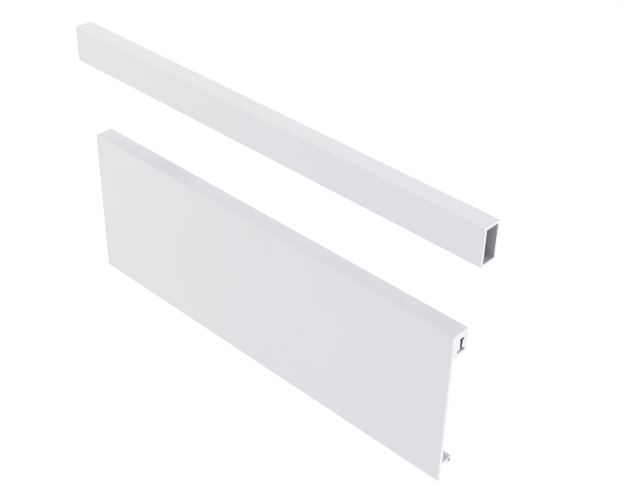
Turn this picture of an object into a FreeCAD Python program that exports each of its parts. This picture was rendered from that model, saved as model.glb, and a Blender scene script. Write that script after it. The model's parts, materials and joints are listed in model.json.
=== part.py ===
"""Slim electric baseboard heater.

A hooked-on extruded front panel, the heating chassis behind it, and a tubular top rail that hangs on wall
clips of its own.

Every length is in millimetres and comes from the spreadsheet. Inside a sub-part X runs along the heater from
its middle, Y goes back from the front face towards the wall, and Z goes up from the panel's bottom edge. Each
sub-part's Placement then carries that frame to the model frame, whose origin is the middle of the four
wall-screw holes, on the wall plane.
"""

import FreeCAD, Part

import math
import os
import re

import Sketcher

Vector = FreeCAD.Vector

DIMENSIONS = [
    ("depth", 28, "from the front face back to the wall"),
    ("origin_height", 69, "panel's bottom edge up to the middle of the wall screws"),
    ("close_play", 0.05, "play round a rod or a plug that fits closely"),
    ("loose_play", 0.3, "play round a screw or a tube that passes through"),
    ("overshoot", 1, "how far a cut runs past each face that it opens"),
    # front panel extrusion
    ("panel_length", 400, "length of the front panel"),
    ("panel_height", 140, "height of the front panel"),
    ("panel_skin", 3, "thickness of the front plate"),
    ("channel_depth", 17, "front to back over the top box channel"),
    ("channel_height", 21, "height of the top box channel"),
    ("channel_wall", 2, "wall of the box channel"),
    ("rib_low", 14.9, "underside of the rib that carries the screw port"),
    ("rib_thick", 2.7, "thickness of that rib"),
    ("port_back", 11.3, "centre of the screw port behind the front face"),
    ("port_high", 15.2, "centre of the screw port above the bottom edge"),
    ("port_outer", 3.7, "outer radius of the screw port"),
    ("port_bore", 1.6, "bore radius of the screw port"),
    ("soft_edge", 0.5, "rounding of the extrusions' long edges"),
    # plugs in the ends of the box channel
    ("plug_depth", 10, "how far a plug goes into the channel"),
    ("slot_web_from", 9.1, "front side of the I-slot's web"),
    ("slot_web_to", 11.7, "rear side of the I-slot's web"),
    ("slot_low", 122, "lower end of the I-slot"),
    ("slot_high", 133.8, "upper end of the I-slot"),
    ("slot_flange", 2, "height of the I-slot's flanges"),
    ("slot_top_from", 8.4, "front end of the upper flange"),
    ("slot_top_to", 13.2, "rear end of the upper flange"),
    ("slot_foot_from", 6.3, "front end of the lower flange"),
    ("slot_foot_to", 14.2, "rear end of the lower flange"),
    # hanging rod and the hooks that hang the panel on it
    ("rod_back", 20.4, "centre of the hanging rod behind the front face"),
    ("rod_high", 129, "centre of the hanging rod above the bottom edge"),
    ("rod_radius", 2, "radius of the hanging rod"),
    ("rod_length", 344, "length of the hanging rod"),
    ("hook_steel", 1.2, "steel of the panel hooks"),
    ("hook_inner", 2.2, "inner radius of a hook"),
    ("hook_width", 24, "width of a hook along the heater"),
    ("hook_pitch", 150, "distance between hooks"),
    ("hook_leaf_low", 120.6, "lower end of a hook's leaf"),
    ("hook_leg_low", 127, "lower end of a hook's rear leg"),
    ("rivet_radius", 1.6, "shank radius of the blind rivets"),
    ("rivet_head", 2.9, "head radius of the blind rivets"),
    ("rivet_dome", 0.9, "height of a rivet's head"),
    ("rivet_tail", 2.4, "radius of a rivet's set tail"),
    ("rivet_set", 1.5, "length of a rivet's set tail"),
    ("rivet_high", 123.8, "height of the hooks' rivets"),
    ("rivet_apart", 14, "distance between the two rivets of a hook"),
    # back plate
    ("plate_length", 356, "length of the back plate"),
    ("plate_steel", 1.2, "steel of the back plate"),
    ("plate_bend", 0.96, "outer radius of the back plate's folds"),
    ("plate_low", 5, "underside of the back plate"),
    ("plate_high", 123, "top of the back plate"),
    ("plate_lip", 3, "depth of the stiffening lip along the top"),
    ("plate_shelf", 16, "depth of the slotted shelf along the bottom"),
    ("inlet_long", 22, "length of an air inlet slot"),
    ("inlet_wide", 8, "width of an air inlet slot"),
    ("inlet_pitch", 32, "distance from slot to slot"),
    ("inlet_count", 11, "number of inlet slots"),
    ("inlet_back", 14, "front edge of the inlet slots"),
    ("wall_hole", 2.5, "radius of the wall-screw holes"),
    ("wall_span", 300, "wall screws, along the heater"),
    ("wall_rise", 92, "wall screws, up and down"),
    ("fix_hole", 1.5, "radius of the chassis screws"),
    ("fix_head", 2.8, "head radius of the chassis screws"),
    ("fix_head_high", 1.6, "head height of the chassis screws"),
    # support brackets
    ("bracket_x", 112, "inner face of a support bracket from the middle"),
    ("bracket_steel", 1.6, "steel of the support brackets"),
    ("bracket_front", 9, "front edge of a bracket's web"),
    ("bracket_low", 24, "lower edge of a bracket"),
    ("bracket_high", 114, "top of a bracket's web"),
    ("neck_front", 17.4, "front edge of a bracket's neck"),
    ("neck_back", 23.5, "rear edge of a bracket's neck"),
    ("neck_high", 120, "where the neck begins behind"),
    ("eye_radius", 3, "outer radius of the rod's eye"),
    ("foot_wide", 12, "width of a bracket's foot"),
    ("foot_steel", 1.2, "steel of a bracket's foot"),
    ("foot_screw_low", 34, "lower foot screw"),
    ("foot_screw_high", 104, "upper foot screw"),
    # heating element and its fins
    ("element_back", 16, "centre line of the element behind the front face"),
    ("element_low", 50, "lower run of the element"),
    ("element_rise", 30, "from the lower run to the upper one"),
    ("element_radius", 4, "radius of the element's sheath"),
    ("element_end", 132, "end of the element's straight runs"),
    ("element_turn", 126, "where the hairpin turn begins, from the middle"),
    ("bush_outer", 6.5, "outer radius of the element bushes"),
    ("bush_neck", 5.2, "neck radius of the element bushes"),
    ("bush_flange", 2.2, "thickness of a bush's flange"),
    ("fin_front", 8, "front edge of the fins"),
    ("fin_wide", 16, "front to back over a fin"),
    ("fin_low", 32, "lower edge of the fins"),
    ("fin_tall", 66, "height of a fin"),
    ("fin_thick", 0.5, "thickness of a fin"),
    ("fin_pitch", 5.6, "distance from fin to fin"),
    ("fin_count", 37, "number of fins"),
    ("fin_fold", 2.4, "length of the folds along a fin's front and rear edges"),
    ("collar_outer", 4.7, "outer radius of the fins' collars"),
    ("board_length", 214, "length of the insulation board"),
    ("board_thick", 2, "thickness of the insulation board"),
    ("board_low", 28, "lower edge of the insulation board"),
    ("board_tall", 74, "height of the insulation board"),
    # clips that hold the panel's screw port
    ("clip_x", 95, "middle of a port clip from the middle of the heater"),
    ("clip_wide", 14, "width of a port clip"),
    ("clip_steel", 0.8, "steel of the port clips"),
    ("clip_mouth", 10.8, "front end of a clip's jaws"),
    ("clip_web", 15.6, "front face of a clip's web"),
    ("clip_jaw_low", 10.3, "underside of the lower jaw"),
    ("clip_jaw_high", 20.3, "top of the upper jaw"),
    ("clip_arm", 14.8, "underside of a clip's arm"),
    ("clip_foot_high", 25.2, "top of a clip's foot"),
    ("clip_screw", 21.2, "height of a clip's screw"),
    # terminal box
    ("box_from", 128, "inner end of the terminal box"),
    ("box_long", 44, "length of the terminal box"),
    ("box_front", 10, "front edge of the terminal box"),
    ("box_low", 34, "underside of the terminal box"),
    ("box_tall", 72, "height of the terminal box"),
    ("box_wall", 1.2, "wall of the terminal box"),
    ("box_screw_in", 11, "lower box screw from the box's inner end"),
    ("box_screw_out", 37, "upper box screw from the box's inner end"),
    ("box_screw_low", 14, "lower box screw above the box's underside"),
    ("box_screw_high", 50, "upper box screw above the box's underside"),
    ("post_side", 6, "side of the posts that take the cover screws"),
    ("cover_steel", 1.2, "steel of the cover"),
    ("cover_lap", 0.8, "how far the cover laps over the box"),
    ("cover_screw", 1.3, "shank radius of the cover screws"),
    ("cover_head", 2.6, "head radius of the cover screws"),
    ("cover_head_high", 1.4, "head height of the cover screws"),
    ("cover_grip", 7.2, "shank length of the cover screws"),
    ("cover_thread", 12, "depth of the holes that the cover screws go into"),
    ("entry_x", 145, "middle of the cable entry along the heater"),
    ("entry_high", 66, "height of the cable entry"),
    ("entry_neck", 7, "neck radius of the cable bush"),
    ("entry_bore", 5, "bore radius of the cable bush"),
    ("entry_flange", 9, "flange radius of the cable bush"),
    ("entry_lip", 1.5, "thickness of the cable bush's flange"),
    ("sheath_hole", 4.2, "radius of the holes for the element"),
    # terminals
    ("block_x", 136, "left end of the terminal block"),
    ("block_long", 28, "length of the terminal block"),
    ("block_front", 12, "front face of the terminal block"),
    ("block_low", 90, "underside of the terminal block"),
    ("block_tall", 13, "height of the terminal block"),
    ("pole_x", 141.5, "first pole of the terminal block"),
    ("pole_pitch", 8.5, "distance between poles"),
    ("pole_radius", 2.2, "radius of a pole's screw head"),
    ("pole_sink", 1.5, "how deep a pole's screw lies in its recess"),
    ("pole_head", 1, "height of a pole's screw head"),
    ("insulator_radius", 3.2, "radius of the element's end insulators"),
    ("insulator_long", 5, "length of the element's end insulators"),
    ("pin_radius", 1.6, "radius of the element's terminal pins"),
    ("pin_long", 9, "length of the element's terminal pins"),
    ("stud_x", 166, "earth stud along the heater"),
    ("stud_high", 70, "height of the earth stud"),
    ("stud_radius", 2, "radius of the earth stud"),
    ("stud_long", 8, "length of the earth stud"),
    ("nut_flats", 7, "earth nut across its flats"),
    ("nut_thick", 2.4, "thickness of the earth nut"),
    ("tag_radius", 3.6, "radius of the earth lead's ring tag"),
    ("tag_thick", 1.2, "thickness of the ring tag"),
    ("lead_radius", 1.2, "radius of an insulated lead"),
    ("lead_bend", 4, "bend radius of the short leads"),
    ("live_bend", 9, "bend radius of the live lead"),
    ("live_drop", 13, "where the live lead turns towards the cut-out, below the block"),
    ("live_reach", 27, "where it comes down over the cut-out, below the block"),
    ("link_rise", 10, "top of the link lead above the element's lower run"),
    ("earth_bend", 6, "bend radius of the earth lead"),
    ("earth_drop", 8, "where the earth lead turns towards its tag, below the block"),
    ("earth_tip", 4.8, "end of the earth lead above the stud's middle"),
    ("earth_lift", 1.4, "middle of the earth lead's end in front of the box's rear wall"),
    # thermal cut-out
    ("cutout_x", 148, "left end of the cut-out"),
    ("cutout_long", 18, "length of the cut-out"),
    ("cutout_front", 12, "front face of the cut-out"),
    ("cutout_wide", 12, "front to back over the cut-out"),
    ("cutout_tall", 12, "height of the cut-out"),
    ("button_x", 160, "reset button along the heater"),
    ("button_back", 18, "reset button behind the front face"),
    ("button_radius", 2.5, "radius of the reset button's stem"),
    ("button_cap", 3.6, "radius of the reset button's cap"),
    ("button_cap_tall", 2.2, "height of the reset button's cap"),
    ("button_low", 29, "underside of the reset button"),
    ("button_top", 38, "top of the reset button's stem"),
    ("button_play", 0.35, "play round the reset button's stem"),
    ("button_well", 6.5, "depth of the well that the stem moves in"),
    ("sensor_radius", 1, "radius of the limiter's sensing tube"),
    ("sensor_bend", 3, "bend radius of the sensing tube"),
    ("sensor_high", 28, "height of the sensing tube under the fins"),
    ("sensor_from", -98, "free end of the sensing tube"),
    ("sensor_x", 152, "where the sensing tube goes up into the cut-out"),
    # top rail
    ("rail_length", 430, "length of the top rail over its end cap"),
    ("rail_low", 207, "underside of the top rail"),
    ("rail_height", 31, "height of the top rail"),
    ("rail_depth", 16, "front to back over the top rail"),
    ("rail_wall", 2, "wall of the top rail"),
    ("cap_flange", 2.6, "thickness of the rail cap's flange"),
    ("cap_spigot", 12, "length of the rail cap's spigot"),
    ("cap_wall", 1.6, "wall of the rail cap's spigot"),
    ("cap_gap", 0.1, "play round the rail cap's spigot"),
    ("hanger_x", 140, "middle of a rail hanger from the middle"),
    ("hanger_wide", 26, "width of a rail hanger"),
    ("hanger_steel", 1.5, "steel of the rail hangers and wall clips"),
    ("hanger_bend", 1.35, "outer radius of their folds"),
    ("hanger_leaf_low", 207.3, "lower end of a hanger's leaf"),
    ("hanger_bridge", 217.3, "underside of a hanger's bridge"),
    ("hanger_tongue", 23.4, "front face of a hanger's tongue"),
    ("hanger_tongue_low", 210.6, "lower end of a hanger's tongue"),
    ("hanger_rivet", 212.6, "height of the hangers' rivets"),
    ("wallclip_wide", 30, "width of a rail wall clip"),
    ("wallclip_low", 207.8, "underside of a rail wall clip"),
    ("wallclip_high", 228, "top of a rail wall clip"),
    ("wallclip_lip", 20.8, "front face of a wall clip's lip"),
    ("wallclip_lip_high", 217, "top of a wall clip's lip"),
    ("wallclip_screw", 222.5, "height of the wall clips' screw holes"),
]

ALIASES = {alias for alias, _, _ in DIMENSIONS}
UP = Vector(0, 0, 1)
NEAR = 0.01  # points closer than this are taken as one
HEX_CORNER = 0.57735  # a hexagon's middle to its corner, for 1 across the flats

doc = FreeCAD.newDocument("baseboard_heater")
nodes = []


def fill_sheet():
    """The spreadsheet of driving dimensions: alias, value and what it measures."""
    cells = doc.addObject("Spreadsheet::Sheet", "dims")
    for row, (alias, size, meaning) in enumerate(DIMENSIONS, start=1):
        cells.set(f"A{row}", alias)
        cells.set(f"B{row}", str(size))
        cells.setAlias(f"B{row}", alias)
        cells.set(f"C{row}", meaning)
    doc.recompute()
    return cells


sheet = fill_sheet()


def formula(text):
    """A formula of bare aliases, as an expression that reads the spreadsheet."""
    text = str(text)
    unknown = set(re.findall(r"[a-z_]+", text)) - ALIASES
    if unknown:
        raise ValueError(f"no such dimension: {sorted(unknown)}")
    return re.sub(r"[a-z_]+", lambda word: f"dims.{word.group()}", text)


def value(text):
    """What a formula comes to now, in millimetres."""
    return float(sheet.evalExpression(formula(text)))


def bind(thing, **sizes):
    """Ties properties of an object to formulas; a double underscore stands for a dot."""
    for name, text in sizes.items():
        thing.setExpression(name.replace("__", "."), formula(text))


def place(thing, x="0", y="0", z="0"):
    """Ties an object's position to three formulas."""
    bind(thing, Placement__Base__x=x, Placement__Base__y=y, Placement__Base__z=z)


def finish(thing, label, x="0"):
    """Makes an object a sub-part: its label, and its place in the model frame."""
    thing.Label = label
    place(thing, x, "-depth", "-origin_height")
    nodes.append(thing)
    return thing


# Part primitives


def block(x, y, z, long, wide, tall):
    """A box by its lowest corner and its three sizes."""
    box = doc.addObject("Part::Box", "block")
    bind(box, Length=long, Width=wide, Height=tall)
    place(box, x, y, z)
    return box


TURNS = {
    "x": FreeCAD.Rotation(Vector(0, 1, 0), 90),
    "y": FreeCAD.Rotation(Vector(1, 0, 0), -90),
    "z": FreeCAD.Rotation(),
}


def bar(axis, x, y, z, radius, long):
    """A round bar that starts at a point and runs along +X, +Y or +Z."""
    cylinder = doc.addObject("Part::Cylinder", "bar")
    cylinder.Placement.Rotation = TURNS[axis]
    bind(cylinder, Radius=radius, Height=long)
    place(cylinder, x, y, z)
    return cylinder


def fuse(*pieces):
    joined = doc.addObject("Part::MultiFuse", "joined")
    joined.Shapes = list(pieces)
    return joined


def cut(base, *tools):
    """A base with one tool or several taken out of it."""
    rest = doc.addObject("Part::Cut", "cut")
    rest.Base = base
    rest.Tool = tools[0] if len(tools) == 1 else fuse(*tools)
    return rest


def group(pieces):
    """Separate solids that share one node."""
    together = doc.addObject("Part::Compound", "group")
    together.Links = list(pieces)
    return together


# PartDesign


def new_body(name):
    return doc.addObject("PartDesign::Body", name)


def sketch_on(body, plane, offset="0"):
    """A sketch on one of the body's own origin planes, moved along its normal."""
    sketch = body.newObject("Sketcher::SketchObject", "sketch")
    support = next(part for part in body.Origin.OriginFeatures if part.Role == plane)
    sketch.AttachmentSupport = [(support, "")]
    sketch.MapMode = "FlatFace"
    bind(sketch, AttachmentOffset__Base__z=offset)
    return sketch


def tie(sketch, geometry, point, x, y):
    """Dimensions a sketch point from the sketch's origin."""
    for kind, text in (("DistanceX", x), ("DistanceY", y)):
        index = sketch.addConstraint(Sketcher.Constraint(kind, -1, 1, geometry, point, value(text)))
        sketch.setExpression(f"Constraints[{index}]", formula(text))


def outline(sketch, corners):
    """A closed outline of straight edges through corners, each a pair of formulas."""
    first = sketch.GeometryCount
    spots = [Vector(value(x), value(y), 0) for x, y in corners]
    count = len(corners)
    for here in range(count):
        sketch.addGeometry(Part.LineSegment(spots[here], spots[(here + 1) % count]))
    for here in range(count):
        after = first + (here + 1) % count
        sketch.addConstraint(Sketcher.Constraint("Coincident", first + here, 2, after, 1))
    for here, (x, y) in enumerate(corners):
        tie(sketch, first + here, 1, x, y)


def rectangle(sketch, x_from, y_from, x_to, y_to):
    outline(sketch, [(x_from, y_from), (x_to, y_from), (x_to, y_to), (x_from, y_to)])


def circle(sketch, x, y, radius):
    index = sketch.addGeometry(Part.Circle(Vector(value(x), value(y), 0), UP, value(radius)))
    tie(sketch, index, 3, x, y)
    size = sketch.addConstraint(Sketcher.Constraint("Radius", index, value(radius)))
    sketch.setExpression(f"Constraints[{size}]", formula(radius))


def pad(body, sketch, long, both_ways=False):
    """A pad along the sketch's normal, or half each way."""
    feature = body.newObject("PartDesign::Pad", "pad")
    feature.Profile = sketch
    feature.SideType = "Symmetric" if both_ways else "One side"
    bind(feature, Length=long)
    doc.recompute()
    return feature


def pocket(body, sketch, long, both_ways=False, with_normal=False):
    """A pocket against the sketch's normal, along it, or half each way; it has to remove something."""
    before = body.Shape.Volume
    feature = body.newObject("PartDesign::Pocket", "pocket")
    feature.Profile = sketch
    feature.SideType = "Symmetric" if both_ways else "One side"
    feature.Reversed = with_normal
    bind(feature, Length=long)
    doc.recompute()
    if not body.Shape.Volume < before:
        raise ValueError(f"a pocket of {body.Name} cuts nothing")
    return feature


def repeat_along_x(body, features, pitch, count):
    """Repeats features along the heater."""
    pattern = body.newObject("PartDesign::LinearPattern", "pattern")
    pattern.Originals = features
    axis = next(part for part in body.Origin.OriginFeatures if part.Role == "X_Axis")
    pattern.Direction = (axis, [""])
    bind(pattern, Length=f"({pitch}) * (({count}) - 1)", Occurrences=count)
    body.Tip = pattern
    doc.recompute()
    return pattern


def round_long_edges(body, corners, radius, long):
    """Rounds the edges that run the length of a body at the given (y, z) corners."""
    base = body.Tip
    spots = [(value(y), value(z)) for y, z in corners]
    names = []
    for number, edge in enumerate(base.Shape.Edges, start=1):
        ends = [vertex.Point for vertex in edge.Vertexes]
        if len(ends) != 2 or abs(abs(ends[0].x - ends[1].x) - value(long)) > NEAR:
            continue
        if any(all(abs(end.y - y) + abs(end.z - z) < NEAR for end in ends) for y, z in spots):
            names.append(f"Edge{number}")
    if len(names) != len(spots):
        raise ValueError(f"{body.Name} has {len(names)} of {len(spots)} edges to round")
    feature = body.newObject("PartDesign::Fillet", "fillet")
    feature.Base = (base, names)
    bind(feature, Radius=radius)
    doc.recompute()


# Front panel and what is fixed to it

HOOKS = {"left": "-hook_pitch", "centre": "0", "right": "hook_pitch"}


CHANNEL_LOW = "(panel_height - channel_height)"


def draw_panel_section(profile):
    """The plate, its rib and the hollow box channel, seen along the extrusion."""
    outline(
        profile,
        [
            ("0", "0"),
            ("panel_skin", "0"),
            ("panel_skin", "rib_low"),
            ("port_back", "rib_low"),
            ("port_back", "rib_low + rib_thick"),
            ("panel_skin", "rib_low + rib_thick"),
            ("panel_skin", CHANNEL_LOW),
            ("channel_depth", CHANNEL_LOW),
            ("channel_depth", "panel_height"),
            ("0", "panel_height"),
        ],
    )
    rectangle(
        profile,
        "panel_skin",
        f"{CHANNEL_LOW} + channel_wall",
        "channel_depth - channel_wall",
        "panel_height - channel_wall",
    )


def make_front_panel():
    """Extruded plate with a box channel along its top and a ribbed screw port near its foot."""
    body = new_body("front_panel")
    profile = sketch_on(body, "YZ_Plane")
    draw_panel_section(profile)
    pad(body, profile, "panel_length", both_ways=True)
    port = sketch_on(body, "YZ_Plane")
    circle(port, "port_back", "port_high", "port_outer")
    pad(body, port, "panel_length", both_ways=True)
    bore = sketch_on(body, "YZ_Plane")
    circle(bore, "port_back", "port_high", "port_bore")
    pocket(body, bore, "panel_length + 2 * overshoot", both_ways=True)
    corners = [
        ("0", "0"),
        ("panel_skin", "0"),
        ("0", "panel_height"),
        ("channel_depth", "panel_height"),
        ("channel_depth", CHANNEL_LOW),
        ("panel_skin", CHANNEL_LOW),
    ]
    round_long_edges(body, corners, "soft_edge", "panel_length")
    rivets = sketch_on(body, "XZ_Plane", "-channel_depth")
    for x, z in hook_rivet_places():
        circle(rivets, x, z, "rivet_radius")
    pocket(body, rivets, "channel_wall", with_normal=True)
    return finish(body, "front_panel")


def hook_rivet_places():
    return [
        (f"{x} {side} rivet_apart / 2", "rivet_high") for x in HOOKS.values() for side in "-+"
    ]


def make_panel_plug(side, x_from):
    """Moulded plug with an I-shaped slot, flush in one end of the box channel."""
    body = new_body(f"panel_plug_{side}")
    face = sketch_on(body, "YZ_Plane")
    rectangle(
        face,
        "panel_skin + close_play",
        f"{CHANNEL_LOW} + channel_wall + close_play",
        "channel_depth - channel_wall - close_play",
        "panel_height - channel_wall - close_play",
    )
    outline(
        face,
        [
            ("slot_foot_from", "slot_low"),
            ("slot_foot_to", "slot_low"),
            ("slot_foot_to", "slot_low + slot_flange"),
            ("slot_web_to", "slot_low + slot_flange"),
            ("slot_web_to", "slot_high - slot_flange"),
            ("slot_top_to", "slot_high - slot_flange"),
            ("slot_top_to", "slot_high"),
            ("slot_top_from", "slot_high"),
            ("slot_top_from", "slot_high - slot_flange"),
            ("slot_web_from", "slot_high - slot_flange"),
            ("slot_web_from", "slot_low + slot_flange"),
            ("slot_foot_from", "slot_low + slot_flange"),
        ],
    )
    pad(body, face, "plug_depth")
    return finish(body, f"panel_plug_{side}", x_from)


def make_panel_hook(side, x):
    """Steel hook riveted behind the box channel; it hangs over the rod from behind."""
    left = "-hook_width / 2"
    outer = "hook_inner + hook_steel"
    ring = bar("x", left, "rod_back", "rod_high", outer, "hook_width")
    hollow = bar("x", left, "rod_back", "rod_high", "hook_inner", "hook_width")
    lower = block(
        left, f"rod_back - ({outer})", f"rod_high - ({outer})", "hook_width", f"2 * ({outer})", outer
    )
    leaf = block(
        left, "channel_depth", "hook_leaf_low", "hook_width", "hook_steel", "rod_high - hook_leaf_low"
    )
    leg = block(
        left, "rod_back + hook_inner", "hook_leg_low", "hook_width", "hook_steel", "rod_high - hook_leg_low"
    )
    holes = [
        bar("y", f"{way} rivet_apart / 2", "channel_depth", "rivet_high", "rivet_radius", "hook_steel")
        for way in "-+"
    ]
    bend = cut(ring, hollow, lower)
    return finish(cut(fuse(bend, leaf, leg), *holes), f"panel_hook_{side}", x)


def rivet(x, z, face, grip):
    """Blind rivet whose head stands behind a face, with its set tail in front of the grip."""
    head = bar("y", x, face, z, "rivet_head", "rivet_dome")
    shank = bar("y", x, f"{face} - ({grip})", z, "rivet_radius", grip)
    tail = bar("y", x, f"{face} - ({grip}) - rivet_set", z, "rivet_tail", "rivet_set")
    return fuse(head, shank, tail)


def make_hook_rivets():
    rivets = [
        rivet(x, z, "channel_depth + hook_steel", "channel_wall + hook_steel")
        for x, z in hook_rivet_places()
    ]
    return finish(group(rivets), "hook_rivets")


# Chassis sheet metal


def foot_screw_places():
    """Chassis screws that hold the brackets, the port clips and the terminal box."""
    middle = "(bracket_x + bracket_steel + foot_wide / 2)"
    return [
        (f"{side} {middle}", z, "depth - plate_steel - foot_steel")
        for side in "-+"
        for z in ("foot_screw_low", "foot_screw_high")
    ] + [
        ("-clip_x", "clip_screw", "depth - plate_steel - clip_steel"),
        ("clip_x", "clip_screw", "depth - plate_steel - clip_steel"),
        ("box_from + box_screw_in", "box_low + box_screw_low", "depth - plate_steel - box_wall"),
        ("box_from + box_screw_out", "box_low + box_screw_high", "depth - plate_steel - box_wall"),
    ]


def make_back_plate():
    """Galvanised plate against the wall, with a slotted air-inlet shelf along its foot."""
    body = new_body("back_plate")
    profile = sketch_on(body, "YZ_Plane")
    inner = "depth - plate_steel"
    outline(
        profile,
        [
            ("depth - plate_shelf", "plate_low"),
            ("depth", "plate_low"),
            ("depth", "plate_high"),
            ("depth - plate_lip", "plate_high"),
            ("depth - plate_lip", "plate_high - plate_steel"),
            (inner, "plate_high - plate_steel"),
            (inner, "plate_low + plate_steel"),
            ("depth - plate_shelf", "plate_low + plate_steel"),
        ],
    )
    pad(body, profile, "plate_length", both_ways=True)
    outside = [("depth", "plate_low"), ("depth", "plate_high")]
    round_long_edges(body, outside, "plate_bend", "plate_length")
    holes = sketch_on(body, "XZ_Plane", "-depth")
    for side in "-+":
        for way in "-+":
            circle(holes, f"{side} wall_span / 2", f"origin_height {way} wall_rise / 2", "wall_hole")
    for x, z, _ in foot_screw_places():
        circle(holes, x, z, "fix_hole")
    circle(holes, "entry_x", "entry_high", "entry_neck")
    pocket(body, holes, "plate_steel", with_normal=True)
    inlet = sketch_on(body, "XY_Plane", "plate_low")
    start = "-inlet_pitch * (inlet_count - 1) / 2 - inlet_long / 2"
    rectangle(inlet, start, "inlet_back", f"{start} + inlet_long", "inlet_back + inlet_wide")
    slot = pocket(body, inlet, "plate_steel", with_normal=True)
    repeat_along_x(body, [slot], "inlet_pitch", "inlet_count")
    return finish(body, "back_plate")


def make_support_bracket(side, x_from, foot_x):
    """Web that carries the element and, in its neck, the hanging rod; its foot is screwed to the plate."""
    body = new_body(f"support_bracket_{side}")
    web = sketch_on(body, "YZ_Plane")
    rear = "depth - plate_steel"
    outline(
        web,
        [
            ("bracket_front", "bracket_low"),
            (rear, "bracket_low"),
            (rear, "bracket_high"),
            ("neck_back", "neck_high"),
            ("neck_back", "rod_high"),
            ("neck_front", "rod_high"),
            ("neck_front", "bracket_high"),
            ("bracket_front", "bracket_high"),
        ],
    )
    pad(body, web, "bracket_steel")
    eye = sketch_on(body, "YZ_Plane")
    circle(eye, "rod_back", "rod_high", "eye_radius")
    pad(body, eye, "bracket_steel")
    foot = sketch_on(body, "YZ_Plane", foot_x)
    rectangle(foot, f"{rear} - foot_steel", "bracket_low", rear, "bracket_high")
    pad(body, foot, "foot_wide")
    holes = sketch_on(body, "YZ_Plane", "-overshoot")
    circle(holes, "rod_back", "rod_high", "rod_radius + close_play")
    for rise in ("0", "element_rise"):
        circle(holes, "element_back", f"element_low + {rise}", "bush_neck")
    circle(holes, "element_back", "sensor_high", "sensor_radius + loose_play")
    pocket(body, holes, "bracket_steel + 2 * overshoot", with_normal=True)
    screws = sketch_on(body, "XZ_Plane", f"-({rear})")
    for z in ("foot_screw_low", "foot_screw_high"):
        circle(screws, f"{foot_x} + foot_wide / 2", z, "fix_hole")
    pocket(body, screws, "foot_steel", with_normal=True)
    return finish(body, f"support_bracket_{side}", x_from)


def make_hanging_rod():
    rod = bar("x", "-rod_length / 2", "rod_back", "rod_high", "rod_radius", "rod_length")
    return finish(group([rod]), "hanging_rod")


def make_port_clip(side, x):
    """Sprung clip whose two jaws take the panel's screw port from behind."""
    body = new_body(f"port_clip_{side}")
    profile = sketch_on(body, "YZ_Plane")
    rear = "depth - plate_steel"
    outline(
        profile,
        [
            ("clip_mouth", "clip_jaw_low"),
            ("clip_web + clip_steel", "clip_jaw_low"),
            ("clip_web + clip_steel", "clip_arm"),
            (rear, "clip_arm"),
            (rear, "clip_foot_high"),
            (f"{rear} - clip_steel", "clip_foot_high"),
            (f"{rear} - clip_steel", "clip_arm + clip_steel"),
            ("clip_web + clip_steel", "clip_arm + clip_steel"),
            ("clip_web + clip_steel", "clip_jaw_high"),
            ("clip_mouth", "clip_jaw_high"),
            ("clip_mouth", "clip_jaw_high - clip_steel"),
            ("clip_web", "clip_jaw_high - clip_steel"),
            ("clip_web", "clip_jaw_low + clip_steel"),
            ("clip_mouth", "clip_jaw_low + clip_steel"),
        ],
    )
    pad(body, profile, "clip_wide", both_ways=True)
    screw = sketch_on(body, "XZ_Plane", f"-({rear})")
    circle(screw, "0", "clip_screw", "fix_hole")
    pocket(body, screw, "clip_steel", with_normal=True)
    return finish(body, f"port_clip_{side}", x)


def screw(x, z, face, grip):
    """Pan-head screw whose head stands in front of a face, with its end flush behind the grip."""
    head = bar("y", x, f"{face} - fix_head_high", z, "fix_head", "fix_head_high")
    return fuse(head, bar("y", x, face, z, "fix_hole", grip))


def make_chassis_screws():
    screws = [screw(x, z, face, f"depth - ({face})") for x, z, face in foot_screw_places()]
    return finish(group(screws), "chassis_screws")


# Heating element


def make_heating_element():
    """Sheathed hairpin element: two straight runs and the turn that joins them."""
    runs = [
        bar(
            "x",
            "-element_turn",
            "element_back",
            f"element_low + {rise}",
            "element_radius",
            "element_turn + element_end",
        )
        for rise in ("0", "element_rise")
    ]
    turn = doc.addObject("Part::Torus", "turn")
    turn.Placement.Rotation = FreeCAD.Rotation(Vector(0, 0, -1), Vector(-1, 0, 0), Vector(0, 1, 0), "XYZ")
    turn.Angle3 = 180
    bind(turn, Radius1="element_rise / 2", Radius2="element_radius")
    place(turn, "-element_turn", "element_back", "element_low + element_rise / 2")
    return finish(fuse(*runs, turn), "heating_element")


def make_fin_stack():
    """Aluminium fins with folded edges, on collars that butt into two sleeves round the element."""
    body = new_body("fin_stack")
    span = "fin_pitch * (fin_count - 1) + fin_thick"
    sleeves = [("element_back", "element_low"), ("element_back", "element_low + element_rise")]
    start = f"-({span}) / 2"
    plate = sketch_on(body, "YZ_Plane", start)
    rectangle(plate, "fin_front", "fin_low", "fin_front + fin_wide", "fin_low + fin_tall")
    fin = pad(body, plate, "fin_thick")
    folds = sketch_on(body, "YZ_Plane", start)
    for y in ("fin_front", "fin_front + fin_wide - fin_thick"):
        rectangle(folds, y, "fin_low", f"{y} + fin_thick", "fin_low + fin_tall")
    fold = pad(body, folds, "fin_fold")
    repeat_along_x(body, [fin, fold], "fin_pitch", "fin_count")
    collars = sketch_on(body, "YZ_Plane")
    for y, z in sleeves:
        circle(collars, y, z, "collar_outer")
    pad(body, collars, span, both_ways=True)
    bores = sketch_on(body, "YZ_Plane")
    for y, z in sleeves:
        circle(bores, y, z, "element_radius")
    pocket(body, bores, f"{span} + 2 * overshoot", both_ways=True)
    return finish(body, "fin_stack")


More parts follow.
